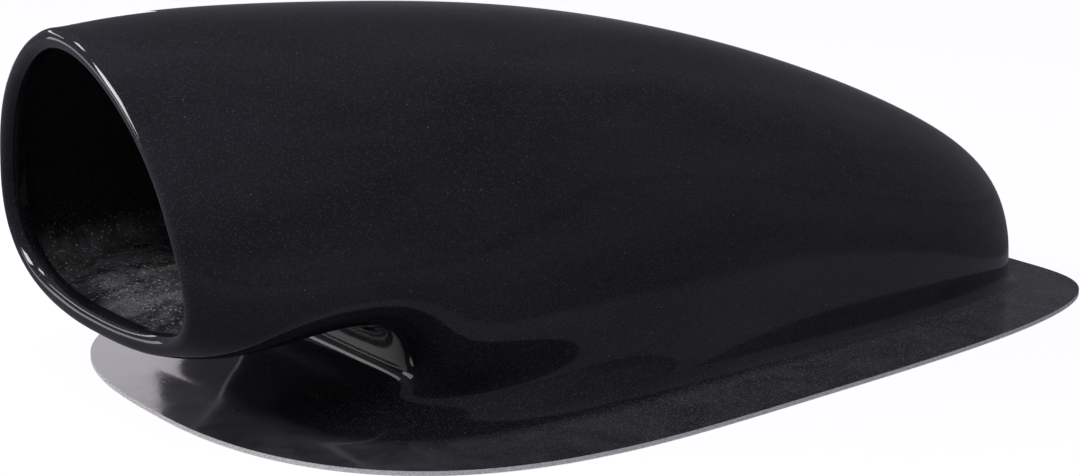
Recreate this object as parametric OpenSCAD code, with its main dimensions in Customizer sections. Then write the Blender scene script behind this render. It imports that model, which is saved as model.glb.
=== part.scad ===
// Bonnet scoop, moulded in one piece in glass-fibre with a black gel coat.
// The forward-facing mouth stands off the bonnet on a short neck. Air enters it, turns down inside the
// hollow body and leaves through the open underside, over the carburettor.
// Frame: X runs to the rear of the car, Z is up from the bonnet, and Y is across the car.
// The flange's underside lies at Z = 0. The sizes below count X from the flange's front edge, and the
// finished part is then set with the middle of its overall box at X = 0.
// The skin is a loft. Eight cross-sections swing round like a fan, from the upright mouth to the
// level foot, and the control sections below pull the skin as a batten spline does.
// Each section has a roof point and a keel point as [x, z] on the middle plane, and a half width.
// Taper makes a section wider at the keel end. Squareness 2 is an ellipse, and more is boxier.
// Where the snout meets its neck, extra squareness is added towards the keel end only.

/* [Mouth section] */
// Roof point at the mouth, along X
mouth_roof_x = -38.5; // [-50:0.5:-26]
// Roof point at the mouth, height
mouth_roof_z = 210; // [192:1:226]
// Keel point at the mouth, along X
mouth_keel_x = -23; // [-30:1:-14]
// Keel point at the mouth, height
mouth_keel_z = 46; // [38:1:54]
// Half width of the section
mouth_half = 110.5; // [98:0.5:124]
// How much wider than that it is at the keel end, as a share
mouth_taper = 0.26; // [0.1:0.01:0.35]

/* [Throat section] */
// Roof point behind the lip, along X
throat_roof_x = 26; // [14:1:50]
// Roof point behind the lip, height
throat_roof_z = 216; // [204:1:230]
// Keel point behind the lip, along X
throat_keel_x = -8; // [-14:1:6]
// Keel point behind the lip, height
throat_keel_z = 46; // [38:1:54]
// Half width of the section
throat_half = 127; // [114:1:140]
// How much wider than that it is at the keel end, as a share
throat_taper = 0.21; // [0.1:0.01:0.3]
// Extra squareness towards the keel end
throat_crisp = 1; // [0:0.5:3]

/* [Crown section] */
// Roof point at the highest part, along X
crown_roof_x = 161; // [140:1:180]
// Roof point at the highest part, height
crown_roof_z = 208; // [196:1:222]
// Keel point at the highest part, along X
crown_keel_x = 40; // [30:1:48]
// Keel point at the highest part, height
crown_keel_z = 62; // [54:1:68]
// Half width of the section
crown_half = 125; // [112:1:138]
// How much wider than that it is at the keel end, as a share
crown_taper = 0.16; // [0.08:0.01:0.26]
// Extra squareness towards the keel end
crown_crisp = 5; // [3:0.5:7]

/* [Shoulder section] */
// Roof point behind the crown, along X
shoulder_roof_x = 262; // [240:1:290]
// Roof point behind the crown, height
shoulder_roof_z = 197; // [184:1:210]
// Keel point behind the crown, along X
shoulder_keel_x = 82; // [74:1:90]
// Keel point behind the crown, height
shoulder_keel_z = 61; // [54:1:66]
// Half width of the section
shoulder_half = 128; // [114:1:140]
// How much wider than that it is at the keel end, as a share
shoulder_taper = 0.1; // [0.04:0.01:0.2]
// Extra squareness towards the keel end
shoulder_crisp = 8; // [5:0.5:9]

/* [Back section] */
// Roof point halfway down the back, along X
back_roof_x = 388; // [370:1:420]
// Roof point halfway down the back, height
back_roof_z = 168; // [150:1:180]
// Keel point halfway down the back, along X
back_keel_x = 102; // [94:1:110]
// Keel point halfway down the back, height
back_keel_z = 34; // [29:1:40]
// Half width of the section
back_half = 125; // [112:1:136]
// How much wider than that it is at the keel end, as a share
back_taper = 0.14; // [0.08:0.01:0.22]
// Extra squareness towards the keel end
back_crisp = 7; // [4:0.5:8]

/* [Haunch section] */
// Roof point above the tail, along X
haunch_roof_x = 559; // [535:1:575]
// Roof point above the tail, height
haunch_roof_z = 98; // [85:1:115]
// Keel point above the tail, along X
haunch_keel_x = 94; // [86:1:100]
// Keel point above the tail, height
haunch_keel_z = 20; // [18:1:24]
// Half width of the section
haunch_half = 115; // [104:1:126]
// How much wider than that it is at the keel end, as a share
haunch_taper = 0.24; // [0.15:0.01:0.35]
// Extra squareness towards the keel end
haunch_crisp = 3; // [1:0.5:5]

/* [Tail section] */
// Roof point at the tail, along X
tail_roof_x = 589.5; // [575:0.5:600]
// Roof point at the tail, height
tail_roof_z = 41; // [35:1:55]
// Keel point at the tail, along X
tail_keel_x = 79; // [74:1:84]
// Keel point at the tail, height
tail_keel_z = 14; // [13:1:17]
// Half width of the section
tail_half = 113; // [104:1:122]
// How much wider than that it is at the keel end, as a share
tail_taper = 0.32; // [0.2:0.01:0.4]

/* [Foot section] */
// Rear point at the foot of the wall, along X
foot_rear_x = 586.5; // [575:0.5:594]
// Rear point at the foot of the wall, height
foot_rear_z = 13; // [10:1:18]
// Front point at the foot of the wall, along X
foot_front_x = 67; // [62:1:72]
// Front point at the foot of the wall, height
foot_front_z = 9; // [8:1:11]
// Half width of the section
foot_half = 115; // [106:1:124]
// How much wider than that it is at the front, as a share
foot_taper = 0.35; // [0.25:0.01:0.42]

/* [Squareness] */
// Squareness of the mouth along its roof
mouth_roof_square = 2.1; // [2:0.1:2.8]
// Squareness of the mouth along its keel
mouth_keel_square = 2.8; // [2.2:0.1:3.4]
// Squareness of the foot at the rear
foot_rear_square = 3.9; // [2.6:0.1:4.5]
// Squareness of the foot at the front
foot_front_square = 3.8; // [2.6:0.1:4.5]

/* [Lip] */
// Radius of the rolled lip round the mouth, to the gel coat
lip_r = 6; // [4:0.5:9]
// Straight return behind the roll, to the trimmed edge
lip_return = 4.5; // [1:0.5:10]

/* [Foot fillet] */
// Reach of the fillet over the flange at the front
fillet_front = 17; // [10:1:26]
// Reach of the fillet over the flange at the rear
fillet_rear = 8; // [4:0.5:12]
// How soon the front reach fades towards the rear
fillet_fade = 1.5; // [1:0.5:6]

/* [Flange] */
// Length of the flange
flange_length = 620; // [614:1:680]
// Half width of the flange midway along
flange_half = 178; // [168:1:210]
// How much wider than that it is at the front, as a share
flange_taper = 0.33; // [0.25:0.01:0.4]
// Squareness of the flange at the rear
flange_rear_square = 4.2; // [3:0.1:5]
// Squareness of the flange at the front
flange_front_square = 2.6; // [2.2:0.1:4]

/* [Laminate] */
// Thickness of the laminate all over
wall = 2.5; // [1.5:0.1:4]

/* [Smoothness] */
// Points round each ring
ring_points = 72; // [32:4:72]
// Rings from one control section to the next
rings_per_bay = 4; // [2:1:5]
// Rings round the rolled lip
lip_rings = 6; // [4:1:8]
// Rings over the foot fillet
fillet_rings = 4; // [3:1:6]

/* [Hidden] */

// One row per control section: roof x and z, keel x and z, half width, taper, extra squareness
stations = [
    [mouth_roof_x, mouth_roof_z, mouth_keel_x, mouth_keel_z, mouth_half, mouth_taper, 0],
    [throat_roof_x, throat_roof_z, throat_keel_x, throat_keel_z, throat_half, throat_taper, throat_crisp],
    [crown_roof_x, crown_roof_z, crown_keel_x, crown_keel_z, crown_half, crown_taper, crown_crisp],
    [shoulder_roof_x, shoulder_roof_z, shoulder_keel_x, shoulder_keel_z,
     shoulder_half, shoulder_taper, shoulder_crisp],
    [back_roof_x, back_roof_z, back_keel_x, back_keel_z, back_half, back_taper, back_crisp],
    [haunch_roof_x, haunch_roof_z, haunch_keel_x, haunch_keel_z, haunch_half, haunch_taper, haunch_crisp],
    [tail_roof_x, tail_roof_z, tail_keel_x, tail_keel_z, tail_half, tail_taper, 0],
    [foot_rear_x, foot_rear_z, foot_front_x, foot_front_z, foot_half, foot_taper, 0]
];
bays = len(stations) - 1;
flange_top = wall;
flange_section = [flange_length, flange_top, 0, flange_top, flange_half, flange_taper, 0];

// Steps for slopes taken as differences, along the fan and in degrees round a ring
step_t = 0.001;
step_u = 0.05;

function unit(v) = v / norm(v);

// Control row k, carried on in a straight line past both ends
function row(k) =
    k < 0 ? 2 * stations[0] - stations[1] :
    k > bays ? 2 * stations[bays] - stations[bays - 1] :
    stations[k];

// The section at place t along the fan: a uniform cubic B-spline through the control rows
function station(t) =
    let (k = min(floor(t), bays - 1), f = t - k, g = 1 - f)
    (g * g * g * row(k - 1)
     + (3 * f * f * f - 6 * f * f + 4) * row(k)
     + (3 * g * g * g - 6 * g * g + 4) * row(k + 1)
     + f * f * f * row(k + 2)) / 6;

// Point at angle u round a section: 0 is the roof or rear, 180 is the keel or front
function round_section(s, u, roof_square, keel_square) =
    let (c = cos(u), v = sin(u), low = (1 - c) / 2,
         p = roof_square + (keel_square - roof_square) * low + s[6] * pow(low, 4),
         r = pow(pow(abs(c), p) + pow(abs(v), p), -1 / p), a = r * c)
    [(s[0] + s[2] + a * (s[0] - s[2])) / 2,
     -s[4] * r * v * (1 - s[5] * a),
     (s[1] + s[3] + a * (s[1] - s[3])) / 2];

// Point of the body at place t along the fan, which grows squarer from the mouth to the foot
function body_point(t, u) =
    let (f = t / bays)
    round_section(station(t), u,
                  mouth_roof_square + (foot_rear_square - mouth_roof_square) * f * f,
                  mouth_keel_square + (foot_front_square - mouth_keel_square) * f);

// Slope of the body along the fan, away from the mouth, and slope round the ring
function along(t, u) =
    t < 0.5 ? unit(body_point(t + step_t, u) - body_point(t, u)) :
    unit(body_point(t, u) - body_point(t - step_t, u));
function around(t, u) = unit(body_point(t, u + step_u) - body_point(t, u - step_u));

// Outward normal from the two slopes
function outward(a, r) = unit(cross(r, a));

// Lip: q is 0 where the roll leaves the body, 90 at its crest and 180 at its inner side
function lip_row(q, back) = [
    for (i = [0 : ring_points - 1])
        let (u = 360 * i / ring_points, p = body_point(0, u), a = along(0, u),
             n = outward(a, around(0, u)))
        [p - lip_r * (a * sin(q) + n * (1 - cos(q))) + back * a, n * cos(q) - a * sin(q)]
];

// Body: one ring of points and normals at place t
function body_row(t) = [
    for (i = [0 : ring_points - 1])
        let (u = 360 * i / ring_points)
        [body_point(t, u), outward(along(t, u), around(t, u))]
];

// Fillet: a curve from the foot of the wall, along the wall's own slope, out over the flange
function fillet_reach(u) =
    fillet_rear + (fillet_front - fillet_rear) * pow((1 - cos(u)) / 2, fillet_fade);
function fillet_point(f, u) =
    let (p = body_point(bays, u), a = along(bays, u), r = around(bays, u),
         corner = p + a * (flange_top - p[2]) / min(a[2], -0.2),
         end = corner + fillet_reach(u) * unit([-r[1], r[0], 0]),
         g = 1 - f)
    [g * g * p[0] + 2 * f * g * corner[0] + f * f * end[0],
     g * g * p[1] + 2 * f * g * corner[1] + f * f * end[1],
     flange_top + g * g * (p[2] - flange_top)];
function fillet_row(f) = [
    for (i = [0 : ring_points - 1])
        let (u = 360 * i / ring_points,
             a = fillet_point(f, u) - fillet_point(f - step_t, u),
             r = fillet_point(f, u + step_u) - fillet_point(f, u - step_u))
        [fillet_point(f, u), f == 1 ? [0, 0, 1] : outward(unit(a), unit(r))]
];

function flange_row() = [
    for (i = [0 : ring_points - 1])
        [round_section(flange_section, 360 * i / ring_points, flange_rear_square, flange_front_square),
         [0, 0, 1]]
];

// All rings of the gel-coat side, from the trimmed edge inside the mouth to the flange's rim
rings = concat(
    [lip_row(180, lip_return)],
    [for (k = [lip_rings : -1 : 1]) lip_row(180 * k / lip_rings, 0)],
    [for (k = [0 : bays * rings_per_bay]) body_row(k / rings_per_bay)],
    [for (k = [1 : fillet_rings]) fillet_row(k / fillet_rings)],
    [flange_row()]
);
ring_count = len(rings);

outer_points = [for (ring = rings) for (p = ring) p[0]];
outer_x = [for (p = outer_points) p[0]];
middle_x = (min(outer_x) + max(outer_x)) / 2;
inner_points = [for (ring = rings) for (p = ring) p[0] - wall * p[1]];

// Point number for a place round ring j, on the outer side or the inner one
function at(side, j, i) = (side * ring_count + j) * ring_points + i % ring_points;
function quad(a, b, c, d) = [[a, b, c], [a, c, d]];

outer_faces = [for (j = [0 : ring_count - 2]) for (i = [0 : ring_points - 1])
    for (f = quad(at(0, j, i), at(0, j + 1, i), at(0, j + 1, i + 1), at(0, j, i + 1))) f];
inner_faces = [for (j = [0 : ring_count - 2]) for (i = [0 : ring_points - 1])
    for (f = quad(at(1, j, i), at(1, j, i + 1), at(1, j + 1, i + 1), at(1, j + 1, i))) f];
mouth_edge = [for (i = [0 : ring_points - 1])
    for (f = quad(at(0, 0, i), at(0, 0, i + 1), at(1, 0, i + 1), at(1, 0, i))) f];
flange_edge = [for (i = [0 : ring_points - 1])
    for (f = quad(at(0, ring_count - 1, i), at(1, ring_count - 1, i),
                  at(1, ring_count - 1, i + 1), at(0, ring_count - 1, i + 1))) f];

// The whole moulding: gel-coat side, laminate side, and the two cut edges that join them
module scoop_shell() {
    color([0.07, 0.07, 0.08])
    translate([-middle_x, 0, 0])
    polyhedron(points = concat(outer_points, inner_points),
               faces = concat(outer_faces, inner_faces, mouth_edge, flange_edge),
               convexity = 8);
}

scoop_shell();
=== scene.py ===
import math

import bpy
import numpy as np
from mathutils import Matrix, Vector


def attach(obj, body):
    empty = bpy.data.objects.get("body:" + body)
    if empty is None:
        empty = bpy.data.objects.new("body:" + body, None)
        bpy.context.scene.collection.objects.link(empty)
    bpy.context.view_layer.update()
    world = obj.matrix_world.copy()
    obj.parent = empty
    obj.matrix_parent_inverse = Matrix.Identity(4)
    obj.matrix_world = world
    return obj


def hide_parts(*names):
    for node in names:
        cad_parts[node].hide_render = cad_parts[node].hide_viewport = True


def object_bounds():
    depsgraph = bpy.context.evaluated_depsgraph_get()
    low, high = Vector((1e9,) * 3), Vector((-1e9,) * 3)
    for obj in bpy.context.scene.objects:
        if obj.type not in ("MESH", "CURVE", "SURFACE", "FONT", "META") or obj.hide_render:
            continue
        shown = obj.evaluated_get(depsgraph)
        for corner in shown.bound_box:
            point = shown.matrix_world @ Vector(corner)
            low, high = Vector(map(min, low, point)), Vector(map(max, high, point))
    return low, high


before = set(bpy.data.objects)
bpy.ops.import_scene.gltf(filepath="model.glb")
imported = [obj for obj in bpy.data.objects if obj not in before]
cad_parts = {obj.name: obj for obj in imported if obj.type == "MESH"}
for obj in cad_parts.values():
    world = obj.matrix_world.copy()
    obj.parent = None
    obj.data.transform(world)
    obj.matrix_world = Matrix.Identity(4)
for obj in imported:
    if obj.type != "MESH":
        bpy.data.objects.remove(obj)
cad_low, cad_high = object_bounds()

# The moulding: one shell of glass-fibre laid up by hand in a mould, about 2.5 mm thick.
# Its form is a fan of eight control sections, from the upright mouth to the level foot, then a
# fillet and a flat flange. The sizes are the CAD source's own, in mm from the flange's front edge.
# One control section a line: roof x and z, keel x and z, half width, taper and extra squareness
# towards the keel
FAN = np.array([
    [-38.5, 210, -23, 46, 110.5, 0.26, 0],
    [26, 216, -8, 46, 127, 0.21, 1],
    [161, 208, 40, 62, 125, 0.16, 5],
    [262, 197, 82, 61, 128, 0.10, 8],
    [388, 168, 102, 34, 125, 0.14, 7],
    [559, 98, 94, 20, 115, 0.24, 3],
    [589.5, 41, 79, 14, 113, 0.32, 0],
    [586.5, 13, 67, 9, 115, 0.35, 0],
])
BAYS = len(FAN) - 1
MOUTH_SQUARE = (2.1, 2.8)
FOOT_SQUARE = (3.9, 3.8)
FLANGE_SQUARE = (4.2, 2.6)
LIP_RADIUS = 6
LIP_RETURN = 4.5
FILLET_REAR = 8
FILLET_FRONT = 17
FILLET_FADE = 1.5
LAMINATE = 2.5
FLANGE_PLAN = [620, LAMINATE, 0, LAMINATE, 178, 0.33, 0]
STEP_T = 0.001
STEP_U = math.radians(0.05)
LEAST_FALL = 0.2

ROUND_COUNT = 224
RINGS_PER_BAY = 17
LIP_RINGS = 14
FILLET_RINGS = 10
FLANGE_RINGS = 7
ANGLES = np.arange(ROUND_COUNT) * 2 * math.pi / ROUND_COUNT


def unit(v):
    return v / np.linalg.norm(v, axis=-1, keepdims=True)


def fan_row(k):
    if k < 0:
        return 2 * FAN[0] - FAN[1]
    if k > BAYS:
        return 2 * FAN[BAYS] - FAN[BAYS - 1]
    return FAN[k]


def fan_station(t):
    """The section at place t along the fan: a uniform cubic B-spline through the control sections."""
    k = int(min(math.floor(t), BAYS - 1))
    f = t - k
    g = 1 - f
    return (g ** 3 * fan_row(k - 1) + (3 * f ** 3 - 6 * f * f + 4) * fan_row(k)
            + (3 * g ** 3 - 6 * g * g + 4) * fan_row(k + 1) + f ** 3 * fan_row(k + 2)) / 6


def round_section(s, u, roof_square, keel_square):
    """Points of section s at angles u, counted from the roof point."""
    c, v = np.cos(u), np.sin(u)
    low = (1 - c) / 2
    power = roof_square + (keel_square - roof_square) * low + s[6] * low ** 4
    r = (np.abs(c) ** power + np.abs(v) ** power) ** (-1 / power)
    a = r * c
    return np.stack([(s[0] + s[2] + a * (s[0] - s[2])) / 2,
                     -s[4] * r * v * (1 - s[5] * a),
                     (s[1] + s[3] + a * (s[1] - s[3])) / 2], -1)


def body_point(t, u):
    f = t / BAYS
    return round_section(fan_station(t), u,
                         MOUTH_SQUARE[0] + (FOOT_SQUARE[0] - MOUTH_SQUARE[0]) * f * f,
                         MOUTH_SQUARE[1] + (FOOT_SQUARE[1] - MOUTH_SQUARE[1]) * f)


def along_fan(t, u):
    """The way that the skin runs from the mouth towards the foot."""
    if t < 0.5:
        return unit(body_point(t + STEP_T, u) - body_point(t, u))
    return unit(body_point(t, u) - body_point(t - STEP_T, u))


def round_ring(t, u):
    """The way that the skin runs round a section."""
    return unit(body_point(t, u + STEP_U) - body_point(t, u - STEP_U))


def lip_ring(q, back):
    """q is 0 where the roll leaves the body, 90 degrees at its crest and 180 at its inner side."""
    a = along_fan(0, ANGLES)
    n = unit(np.cross(round_ring(0, ANGLES), a))
    points = body_point(0, ANGLES) - LIP_RADIUS * (a * math.sin(q) + n * (1 - math.cos(q))) + back * a
    return points, n * math.cos(q) - a * math.sin(q)


def body_ring(t):
    return body_point(t, ANGLES), unit(np.cross(round_ring(t, ANGLES), along_fan(t, ANGLES)))


def fillet_point(f, u):
    """A curve from the foot of the wall, at f = 0, out to the flange's upper face, at f = 1."""
    foot = body_point(BAYS, u)
    slope = along_fan(BAYS, u)
    ring = round_ring(BAYS, u)
    reach = FILLET_REAR + (FILLET_FRONT - FILLET_REAR) * ((1 - np.cos(u)) / 2) ** FILLET_FADE
    corner = foot + slope * ((LAMINATE - foot[:, 2]) / np.minimum(slope[:, 2], -LEAST_FALL))[:, None]
    end = corner + reach[:, None] * unit(np.stack([-ring[:, 1], ring[:, 0], 0 * u], -1))
    g = 1 - f
    points = g * g * foot + 2 * f * g * corner + f * f * end
    points[:, 2] = LAMINATE + g * g * (foot[:, 2] - LAMINATE)
    return points


UPRIGHT = np.tile([0.0, 0.0, 1.0], (ROUND_COUNT, 1))


def fillet_ring(f):
    points = fillet_point(f, ANGLES)
    if f == 1:
        return points, UPRIGHT
    slope = points - fillet_point(f - STEP_T, ANGLES)
    ring = fillet_point(f, ANGLES + STEP_U) - fillet_point(f, ANGLES - STEP_U)
    return points, unit(np.cross(unit(ring), unit(slope)))


rings = [lip_ring(math.pi, LIP_RETURN)]
rings += [lip_ring(math.pi * k / LIP_RINGS, 0) for k in range(LIP_RINGS, 0, -1)]
rings += [body_ring(k / RINGS_PER_BAY) for k in range(BAYS * RINGS_PER_BAY + 1)]
rings += [fillet_ring(k / FILLET_RINGS) for k in range(1, FILLET_RINGS + 1)]
last_body_ring = LIP_RINGS + 1 + BAYS * RINGS_PER_BAY
fillet_edge = rings[-1][0]
rim = round_section(FLANGE_PLAN, ANGLES, *FLANGE_SQUARE)
rings += [(fillet_edge + (rim - fillet_edge) * k / FLANGE_RINGS, UPRIGHT)
          for k in range(1, FLANGE_RINGS + 1)]
ring_count = len(rings)

outer = np.array([points for points, _ in rings])
normals = np.array([normal for _, normal in rings])
inner = outer - LAMINATE * normals
middle = FLANGE_PLAN[0] - cad_high.x * 1000
points = np.concatenate([outer.reshape(-1, 3), inner.reshape(-1, 3)])
points[:, 0] -= middle
points = np.clip(points / 1000, np.array(cad_low), np.array(cad_high))

# Faces: gel-coat side, laminate side, and the two cut edges that join them
SIDE = ring_count * ROUND_COUNT
here = np.arange(SIDE).reshape(ring_count, ROUND_COUNT)
beside = np.roll(here, -1, axis=1)
skin = np.stack([here[:-1], here[1:], beside[1:], beside[:-1]], -1).reshape(-1, 4)
laid = np.stack([here[:-1], beside[:-1], beside[1:], here[1:]], -1).reshape(-1, 4) + SIDE
mouth_cut = np.stack([here[0], beside[0], beside[0] + SIDE, here[0] + SIDE], -1)
rim_cut = np.stack([here[-1], here[-1] + SIDE, beside[-1] + SIDE, beside[-1]], -1)
faces = np.concatenate([skin, laid, mouth_cut, rim_cut])
GEL_COAT, LAID_SIDE, CUT_EDGE = 0, 1, 2
face_finish = np.concatenate([np.full(len(skin), GEL_COAT), np.full(len(laid), LAID_SIDE),
                              np.full(len(mouth_cut) + len(rim_cut), CUT_EDGE)])

mesh = bpy.data.meshes.new("scoop_moulding")
mesh.from_pydata(points.tolist(), [], faces.tolist())
mesh.polygons.foreach_set("material_index", face_finish.astype(np.int32))
mesh.shade_smooth()
cut_corners = {int(e) for e in np.concatenate([here[0], here[-1], here[0] + SIDE, here[-1] + SIDE])}
edge_ends = np.empty(len(mesh.edges) * 2, np.int32)
mesh.edges.foreach_get("vertices", edge_ends)
edge_ends = edge_ends.reshape(-1, 2)
is_corner = np.isin(edge_ends, list(cut_corners))
edge_ring = edge_ends % SIDE // ROUND_COUNT
edge_side = edge_ends // SIDE
same_ring = (edge_ring[:, 0] == edge_ring[:, 1]) & (edge_side[:, 0] == edge_side[:, 1])
sharp = is_corner.all(axis=1) & same_ring
sharp_edge = mesh.attributes.new("sharp_edge", "BOOLEAN", "EDGE")
sharp_edge.data.foreach_set("value", sharp)

# How far a point lies out over the flange: 0 on the body, 1 from the fillet's edge outwards
ring_place = np.clip((np.arange(ring_count) - last_body_ring) / FILLET_RINGS, 0, 1)
flange_share = np.tile(np.repeat(ring_place, ROUND_COUNT), 2)
on_flange = mesh.attributes.new("on_flange", "FLOAT", "POINT")
on_flange.data.foreach_set("value", flange_share.astype(np.float32))

# How far a point faces up, where dust settles and where the laid side is painted lighter as if lit from
# above: 0 where it is upright or faces down
up = normals[:, :, 2].reshape(-1)
faces_up = mesh.attributes.new("faces_up", "FLOAT", "POINT")
faces_up.data.foreach_set("value", np.clip(np.concatenate([up, -up]), 0, 1).astype(np.float32))

moulding = bpy.data.objects.new("scoop_moulding", mesh)
bpy.context.collection.objects.link(moulding)


def place(tree, kind, **settings):
    """A node of this kind, with its settings and the values of its sockets."""
    node = tree.nodes.new(kind)
    for name, value in settings.items():
        if hasattr(node, name):
            setattr(node, name, value)
        else:
            node.inputs[name.replace("_", " ")].default_value = value
    return node


def span(tree, value, low, high, to_low=0.0, to_high=1.0):
    """The value carried from one range to another, held at its ends."""
    node = place(tree, "ShaderNodeMapRange")
    tree.links.new(value, node.inputs["Value"])
    for name, number in zip(("From Min", "From Max", "To Min", "To Max"), (low, high, to_low, to_high)):
        node.inputs[name].default_value = number
    return node.outputs["Result"]


def math_of(tree, operation, a, b):
    node = place(tree, "ShaderNodeMath", operation=operation)
    for socket, value in zip(node.inputs, (a, b)):
        if isinstance(value, (int, float)):
            socket.default_value = value
        else:
            tree.links.new(value, socket)
    return node.outputs[0]


def blended(tree, share, a, b):
    """Colour a where share is 0 and colour b where it is 1."""
    node = place(tree, "ShaderNodeMix", data_type="RGBA")
    tree.links.new(share, node.inputs["Factor"])
    for name, colour in (("A", a), ("B", b)):
        socket = next(i for i in node.inputs if i.name == name and i.type == "RGBA")
        if isinstance(colour, tuple):
            socket.default_value = (*colour, 1)
        else:
            tree.links.new(colour, socket)
    return next(o for o in node.outputs if o.type == "RGBA")


def noise_of(tree, where, scale, detail=2.0, roughness=0.5, distortion=0.0):
    node = place(tree, "ShaderNodeTexNoise", Scale=scale, Detail=detail, Roughness=roughness,
                 Distortion=distortion)
    tree.links.new(where, node.inputs["Vector"])
    return node.outputs["Fac"]


def effect_group(name, inputs, outputs):
    """An empty group of nodes with named float inputs and outputs."""
    tree = bpy.data.node_groups.new(name, "ShaderNodeTree")
    sockets = tree.interface
    for socket, value in inputs.items():
        entry = sockets.new_socket(socket, in_out="INPUT", socket_type="NodeSocketFloat")
        entry.default_value = value
    for socket in outputs:
        sockets.new_socket(socket, in_out="OUTPUT", socket_type="NodeSocketFloat")
    return tree, tree.nodes.new("NodeGroupInput"), tree.nodes.new("NodeGroupOutput")


# Settled dust: specks a fraction of a millimetre across, thinly strewn, on the gel coat and the laid
# side
dust_group, dust_in, dust_out = effect_group(
    "settled_dust", {"Cells": 260.0, "Share": 0.25, "Size": 0.12}, ["Specks"])
dust_where = place(dust_group, "ShaderNodeTexCoord").outputs["Object"]
dust_cells = place(dust_group, "ShaderNodeTexVoronoi", feature="F1", Randomness=1.0)
dust_group.links.new(dust_where, dust_cells.inputs["Vector"])
dust_group.links.new(dust_in.outputs["Cells"], dust_cells.inputs["Scale"])
cell_pick = place(dust_group, "ShaderNodeSeparateColor")
dust_group.links.new(dust_cells.outputs["Color"], cell_pick.inputs[0])
near_speck = math_of(dust_group, "LESS_THAN", dust_cells.outputs["Distance"], dust_in.outputs["Size"])
picked = math_of(dust_group, "LESS_THAN", cell_pick.outputs[0], dust_in.outputs["Share"])
speck = math_of(dust_group, "MULTIPLY", near_speck, picked)
faint = math_of(dust_group, "MULTIPLY", speck, span(dust_group, cell_pick.outputs[1], 0, 1, 0.25, 1))
dust_group.links.new(faint, dust_out.inputs["Specks"])

# Chopped strands: short bundles of glass lying in all directions, as the mat is laid
strand_group, strand_in, strand_out = effect_group("chopped_strands", {"Fineness": 1.0}, ["Strands"])
strand_where = place(strand_group, "ShaderNodeTexCoord").outputs["Object"]
STRAND_LAYS = ((0.1, 0.2, 0.3), (0.4, -0.3, 1.2), (-0.5, 0.5, 2.1), (0.9, 0.1, 2.8), (-0.2, 1.1, 0.8))
STRAND_STRETCH = (45, 620, 620)
bundles = None
for lay in STRAND_LAYS:
    turned = place(strand_group, "ShaderNodeMapping", Rotation=lay)
    strand_group.links.new(strand_where, turned.inputs["Vector"])
    drawn_out = place(strand_group, "ShaderNodeVectorMath", operation="MULTIPLY")
    strand_group.links.new(turned.outputs[0], drawn_out.inputs[0])
    drawn_out.inputs[1].default_value = STRAND_STRETCH
    fibre = place(strand_group, "ShaderNodeTexNoise", Detail=1.0)
    strand_group.links.new(drawn_out.outputs[0], fibre.inputs["Vector"])
    strand_group.links.new(strand_in.outputs["Fineness"], fibre.inputs["Scale"])
    bundle = span(strand_group, fibre.outputs["Fac"], 0.56, 0.70)
    bundles = bundle if bundles is None else math_of(strand_group, "MAXIMUM", bundles, bundle)
strand_group.links.new(bundles, strand_out.inputs["Strands"])


def finish_of(name):
    """A new material, its node tree, its shader and the object's own coordinates."""
    material = bpy.data.materials.new(name)
    material.use_nodes = True
    tree = material.node_tree
    where = place(tree, "ShaderNodeTexCoord").outputs["Object"]
    return material, tree, tree.nodes["Principled BSDF"], where


def effect(tree, group, **values):
    node = tree.nodes.new("ShaderNodeGroup")
    node.node_tree = group
    for name, value in values.items():
        node.inputs[name].default_value = value
    return node.outputs[0]


# Gel coat: polished black polyester with cloudy polish haze, faint mould waves and settled dust.
# The flange was handled most, so it is duller and smudged, and only its front was wiped clean.
gel_coat, tree, shader, where = finish_of("black_gel_coat")
shader.inputs["IOR"].default_value = 1.5
DEEP_BLACK = (0.0066, 0.0062, 0.0085)
HAZY_BLACK = (0.0192, 0.0180, 0.0242)
WIPED_BLACK = (0.036, 0.0345, 0.041)
SMUDGED_BLACK = (0.064, 0.061, 0.071)
FINE_DUST_ON_BODY = (0.050, 0.048, 0.056)
FINE_DUST_ON_FLANGE = (0.24, 0.23, 0.255)
DUST_GREY = (0.22, 0.21, 0.22)
HAZE_STRETCH = (0.45, 1.0, 1.5)
WIPED_TO, DUSTY_FROM = -0.24, -0.06
drawn = place(tree, "ShaderNodeVectorMath", operation="MULTIPLY")
tree.links.new(where, drawn.inputs[0])
drawn.inputs[1].default_value = HAZE_STRETCH
haze = noise_of(tree, drawn.outputs[0], 11.0, detail=7.0, roughness=0.62, distortion=0.5)
colour = blended(tree, span(tree, haze, 0.36, 0.66), DEEP_BLACK, HAZY_BLACK)
flange_zone = place(tree, "ShaderNodeAttribute", attribute_name="on_flange").outputs["Fac"]
smudges = noise_of(tree, where, 26.0, detail=6.0, roughness=0.62, distortion=1.2)
smudges = span(tree, smudges, 0.38, 0.62)
smudged = blended(tree, smudges, WIPED_BLACK, SMUDGED_BLACK)
colour = blended(tree, span(tree, flange_zone, 0.6, 1.0), colour, smudged)
flange_dull = math_of(tree, "MULTIPLY", span(tree, flange_zone, 0.7, 1.0), smudges)
along = place(tree, "ShaderNodeSeparateXYZ")
tree.links.new(where, along.inputs[0])
unwiped = span(tree, along.outputs["X"], WIPED_TO, DUSTY_FROM)
unwiped = math_of(tree, "MULTIPLY", span(tree, flange_zone, 0.5, 1.0), unwiped)
fine_dust = blended(tree, unwiped, FINE_DUST_ON_BODY, FINE_DUST_ON_FLANGE)
grain = effect(tree, dust_group, Cells=1000.0, Share=0.6, Size=0.36)
colour = blended(tree, grain, colour, fine_dust)
specks = effect(tree, dust_group, Cells=300.0, Share=0.14, Size=0.09)
colour = blended(tree, specks, colour, DUST_GREY)
tree.links.new(colour, shader.inputs["Base Color"])
gloss = span(tree, noise_of(tree, where, 9.0, detail=5.0, roughness=0.65), 0.35, 0.7, 0.03, 0.10)
gloss = math_of(tree, "ADD", gloss, math_of(tree, "MULTIPLY", flange_dull, 0.05))
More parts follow.
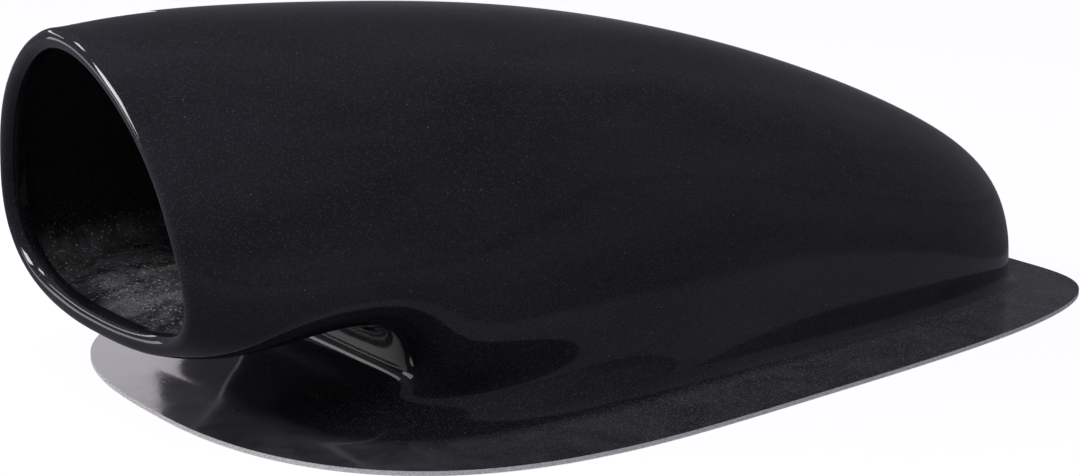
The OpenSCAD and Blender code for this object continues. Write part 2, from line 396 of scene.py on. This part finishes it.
gloss = math_of(tree, "ADD", gloss, math_of(tree, "MULTIPLY", specks, 0.4))
tree.links.new(gloss, shader.inputs["Roughness"])
waves = place(tree, "ShaderNodeBump", Strength=0.35, Distance=0.001)
tree.links.new(noise_of(tree, where, 14.0, detail=1.0), waves.inputs["Height"])
peel = place(tree, "ShaderNodeBump", Strength=0.06, Distance=0.0002)
tree.links.new(noise_of(tree, where, 420.0, detail=1.0), peel.inputs["Height"])
tree.links.new(waves.outputs[0], peel.inputs["Normal"])
tree.links.new(peel.outputs[0], shader.inputs["Normal"])

# Laid side: the rough back of the laminate, black pigmented resin over chopped-strand mat
laid_side, tree, shader, where = finish_of("laid_up_side")
DEEP_RESIN = (0.003, 0.003, 0.004)
THIN_RESIN = (0.010, 0.010, 0.011)
BARE_STRAND = (0.030, 0.029, 0.032)
DUST_AND_LIT_FILM = (0.17, 0.165, 0.175)
PALE_DUST_AND_LIT_SPECK = (0.5, 0.48, 0.5)
strands = effect(tree, strand_group)
resin = span(tree, noise_of(tree, where, 90.0, detail=5.0, roughness=0.7), 0.35, 0.65)
colour = blended(tree, resin, DEEP_RESIN, THIN_RESIN)
colour = blended(tree, strands, colour, BARE_STRAND)
# Up-facing laminate gets a pale film and pale specks: partly settled dust, partly painted light, so the
# throat's floor reads lit and its roof stays black
level = place(tree, "ShaderNodeAttribute", attribute_name="faces_up").outputs["Fac"]
drifts = noise_of(tree, where, 30.0, detail=6.0, roughness=0.7, distortion=0.8)
dust_and_light_film = math_of(tree, "MULTIPLY", span(tree, level, 0.25, 0.85), span(tree, drifts, 0.40, 0.62))
colour = blended(tree, dust_and_light_film, colour, DUST_AND_LIT_FILM)
specks = effect(tree, dust_group, Cells=420.0, Share=0.5, Size=0.3)
colour = blended(tree, math_of(tree, "MULTIPLY", specks, level), colour, PALE_DUST_AND_LIT_SPECK)
tree.links.new(colour, shader.inputs["Base Color"])
tree.links.new(span(tree, resin, 0, 1, 0.32, 0.62), shader.inputs["Roughness"])
mat_bump = place(tree, "ShaderNodeBump", Strength=0.7, Distance=0.0008)
height = math_of(tree, "ADD", strands, noise_of(tree, where, 240.0, detail=4.0, roughness=0.7))
tree.links.new(height, mat_bump.inputs["Height"])
tree.links.new(mat_bump.outputs[0], shader.inputs["Normal"])

# Cut edge: laminate sawn and sanded at the mouth and round the flange, pale where the glass shows
cut_edge, tree, shader, where = finish_of("trimmed_edge")
SAWN_RESIN = (0.55, 0.54, 0.55)
SANDED_RESIN = (0.88, 0.87, 0.88)
CUT_STRAND = (0.90, 0.89, 0.89)
grain = span(tree, noise_of(tree, where, 700.0, detail=4.0, roughness=0.7), 0.35, 0.65)
colour = blended(tree, grain, SAWN_RESIN, SANDED_RESIN)
colour = blended(tree, effect(tree, strand_group, Fineness=1.6), colour, CUT_STRAND)
tree.links.new(colour, shader.inputs["Base Color"])
tree.links.new(span(tree, grain, 0, 1, 0.55, 0.75), shader.inputs["Roughness"])
sawn = place(tree, "ShaderNodeBump", Strength=0.5, Distance=0.0003)
tree.links.new(grain, sawn.inputs["Height"])
tree.links.new(sawn.outputs[0], shader.inputs["Normal"])

for material in (gel_coat, laid_side, cut_edge):
    mesh.materials.append(material)
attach(moulding, "root")
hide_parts("scoop_shell")

# Floor: a plain pale sheet under the part, lighter close round it, where the gloss mirrors it as a
# pale band. Camera rays see it white with the part's own shadow on it, and rays off the gloss see
# it dimmer, rising with distance to the tone of the room.
FLOOR_REACH = 6.0
FLOOR_GAP = 0.0003
LIGHT_AREA = (("X", 0.05, 0.33), ("Y", 0, 0.265))
FAR_GREY, NEAR_GREY = (0.150, 0.141, 0.172), (0.33, 0.31, 0.37)
FAR_WHITE, NEAR_WHITE = 0.93, 0.85
FAR_IN_GLOSS, NEAR_IN_GLOSS = 0.105, 0.04
NEAR_DISTANCE = 0.45
floor_mesh = bpy.data.meshes.new("studio_floor")
floor_mesh.from_pydata([(-FLOOR_REACH, -FLOOR_REACH, 0), (FLOOR_REACH, -FLOOR_REACH, 0),
                        (FLOOR_REACH, FLOOR_REACH, 0), (-FLOOR_REACH, FLOOR_REACH, 0)],
                       [], [(0, 1, 2, 3)])
floor = bpy.data.objects.new("studio_floor", floor_mesh)
floor.location.z = -FLOOR_GAP
bpy.context.collection.objects.link(floor)
floor_paint, tree, shader, where = finish_of("pale_floor")
shader.inputs["Roughness"].default_value = 0.9
shader.inputs["Specular IOR Level"].default_value = 0.0
spot = place(tree, "ShaderNodeSeparateXYZ")
tree.links.new(where, spot.inputs[0])
reach = None
for axis, centre, half in LIGHT_AREA:
    off = math_of(tree, "ABSOLUTE", math_of(tree, "SUBTRACT", spot.outputs[axis], centre), 0)
    share = math_of(tree, "DIVIDE", off, half)
    cubed = math_of(tree, "POWER", share, 3)
    reach = cubed if reach is None else math_of(tree, "ADD", reach, cubed)
near = span(tree, reach, 0.90, 1.10, 1, 0)
floor_grey = blended(tree, near, FAR_GREY, NEAR_GREY)
tree.links.new(floor_grey, shader.inputs["Base Color"])
shader.inputs["Emission Color"].default_value = (1, 0.995, 1, 1)
rays = place(tree, "ShaderNodeLightPath")
white = span(tree, near, 0, 1, FAR_WHITE, NEAR_WHITE)
seen = math_of(tree, "MULTIPLY", rays.outputs["Is Camera Ray"], white)
away = place(tree, "ShaderNodeVectorMath", operation="LENGTH")
tree.links.new(where, away.inputs[0])
nearness = math_of(tree, "DIVIDE", NEAR_DISTANCE, away.outputs["Value"])
in_gloss = math_of(tree, "MULTIPLY", rays.outputs["Is Glossy Ray"],
                   span(tree, nearness, 0, 1, FAR_IN_GLOSS, NEAR_IN_GLOSS))
through = math_of(tree, "MULTIPLY", rays.outputs["Is Transmission Ray"], white)
glow = math_of(tree, "ADD", math_of(tree, "ADD", seen, in_gloss), through)
tree.links.new(glow, shader.inputs["Emission Strength"])
floor_mesh.materials.append(floor_paint)

# World and lamps: a dim room, darker on the side behind the part, with a broad softbox beside the
# mouth, smaller ones and two pale cards round it, and a soft fill from the front left
ROOM_LILAC = (0.89, 0.86, 1.0)
DARK_LILAC = (0.45, 0.435, 0.50)
ROOM_LEVEL = 0.18
DARK_SIDE = (0.51, 0.79, 0.34)
world = bpy.data.worlds.new("dim_room")
bpy.context.scene.world = world
world.use_nodes = True
room = world.node_tree.nodes["Background"]
tree = world.node_tree
direction = place(tree, "ShaderNodeTexCoord").outputs["Generated"]
towards_dark = place(tree, "ShaderNodeVectorMath", operation="DOT_PRODUCT")
tree.links.new(direction, towards_dark.inputs[0])
towards_dark.inputs[1].default_value = DARK_SIDE
dark_side = span(tree, towards_dark.outputs["Value"], 0.78, 0.99)
tree.links.new(blended(tree, dark_side, ROOM_LILAC, DARK_LILAC), room.inputs["Color"])
room.inputs["Strength"].default_value = ROOM_LEVEL


PART_MIDDLE = Vector((0, 0, 0.1))


def softbox(name, azimuth, elevation, distance, wide, high, glow, mirrored=True):
    """A rectangular lamp that faces the part. Azimuth is counted from +X towards +Y."""
    lamp = bpy.data.lights.new(name, "AREA")
    lamp.shape = "RECTANGLE"
    lamp.size = wide
    lamp.size_y = high
    lamp.energy = glow * wide * high * math.pi
    box = bpy.data.objects.new(name, lamp)
    a, e = math.radians(azimuth), math.radians(elevation)
    out = Vector((math.cos(e) * math.cos(a), math.cos(e) * math.sin(a), math.sin(e)))
    box.location = PART_MIDDLE + out * distance
    box.rotation_euler = out.to_track_quat("Z", "Y").to_euler()
    box.visible_glossy = mirrored
    bpy.context.collection.objects.link(box)
    return box


softbox("key_softbox", 157, 19, 2.0, 0.60, 0.62, 13)
softbox("side_softbox", 133, 35, 2.0, 0.30, 0.25, 9)
softbox("low_strip", 112, 18, 2.0, 0.90, 0.10, 3)
softbox("near_card", 137, 1.5, 1.8, 1.10, 0.24, 1.8)
far_card = softbox("far_card", 99.7, 6.1, 0.70, 0.33, 0.16, 1.45)
far_card.data.color = (1.0, 0.95, 1.04)
softbox("front_fill", 236, 52, 2.4, 2.0, 2.0, 2.1, mirrored=False)

# Camera: the photograph's own viewpoint, level, from the front left and 13 degrees up
VIEW_AZIMUTH = math.radians(33.27)
VIEW_ELEVATION = math.radians(13.21)
VIEW_DISTANCE = 1.5505
VIEW_LENS = 89.09
look_at = Vector((0.2511 - middle / 1000, 0, 0.0631))
back = Vector((-math.sin(VIEW_AZIMUTH) * math.cos(VIEW_ELEVATION),
               -math.cos(VIEW_AZIMUTH) * math.cos(VIEW_ELEVATION), math.sin(VIEW_ELEVATION)))
camera_data = bpy.data.cameras.new("photo_camera")
camera_data.sensor_width = 36
camera_data.lens = VIEW_LENS
camera_data.clip_end = 100
camera = bpy.data.objects.new("photo_camera", camera_data)
camera.location = look_at + back * VIEW_DISTANCE
camera.rotation_euler = back.to_track_quat("Z", "Y").to_euler()
bpy.context.collection.objects.link(camera)
bpy.context.scene.camera = camera
bpy.context.scene.view_settings.view_transform = "Standard"
